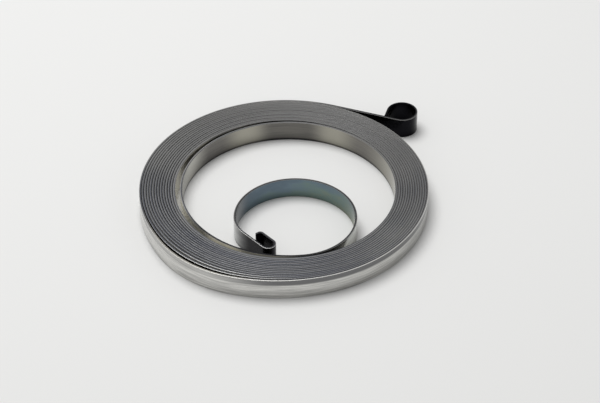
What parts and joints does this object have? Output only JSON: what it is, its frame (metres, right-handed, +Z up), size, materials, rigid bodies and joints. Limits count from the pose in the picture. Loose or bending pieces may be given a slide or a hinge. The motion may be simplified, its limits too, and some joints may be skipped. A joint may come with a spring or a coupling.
{
  "type": "recoil starter spring",
  "caption": "Flat spring-steel strip wound on edge into an open roll, with an eye at its outer end and a loop and hook inside, that winds back a recoil starter's reel.",
  "frame": {"origin": "on the roll's axis, level with the strip's lower edge", "axes": "+X along the straight run from the roll to the eye, +Z up along the roll's axis, with the eye on the +Y side"},
  "size_m": [0.0793, 0.089, 0.006],
  "materials": {
    "strip": "oiled blue-grey spring steel"
  },
  "bodies": {
    "root": {"spring": "strip"}
  },
  "joints": []
}
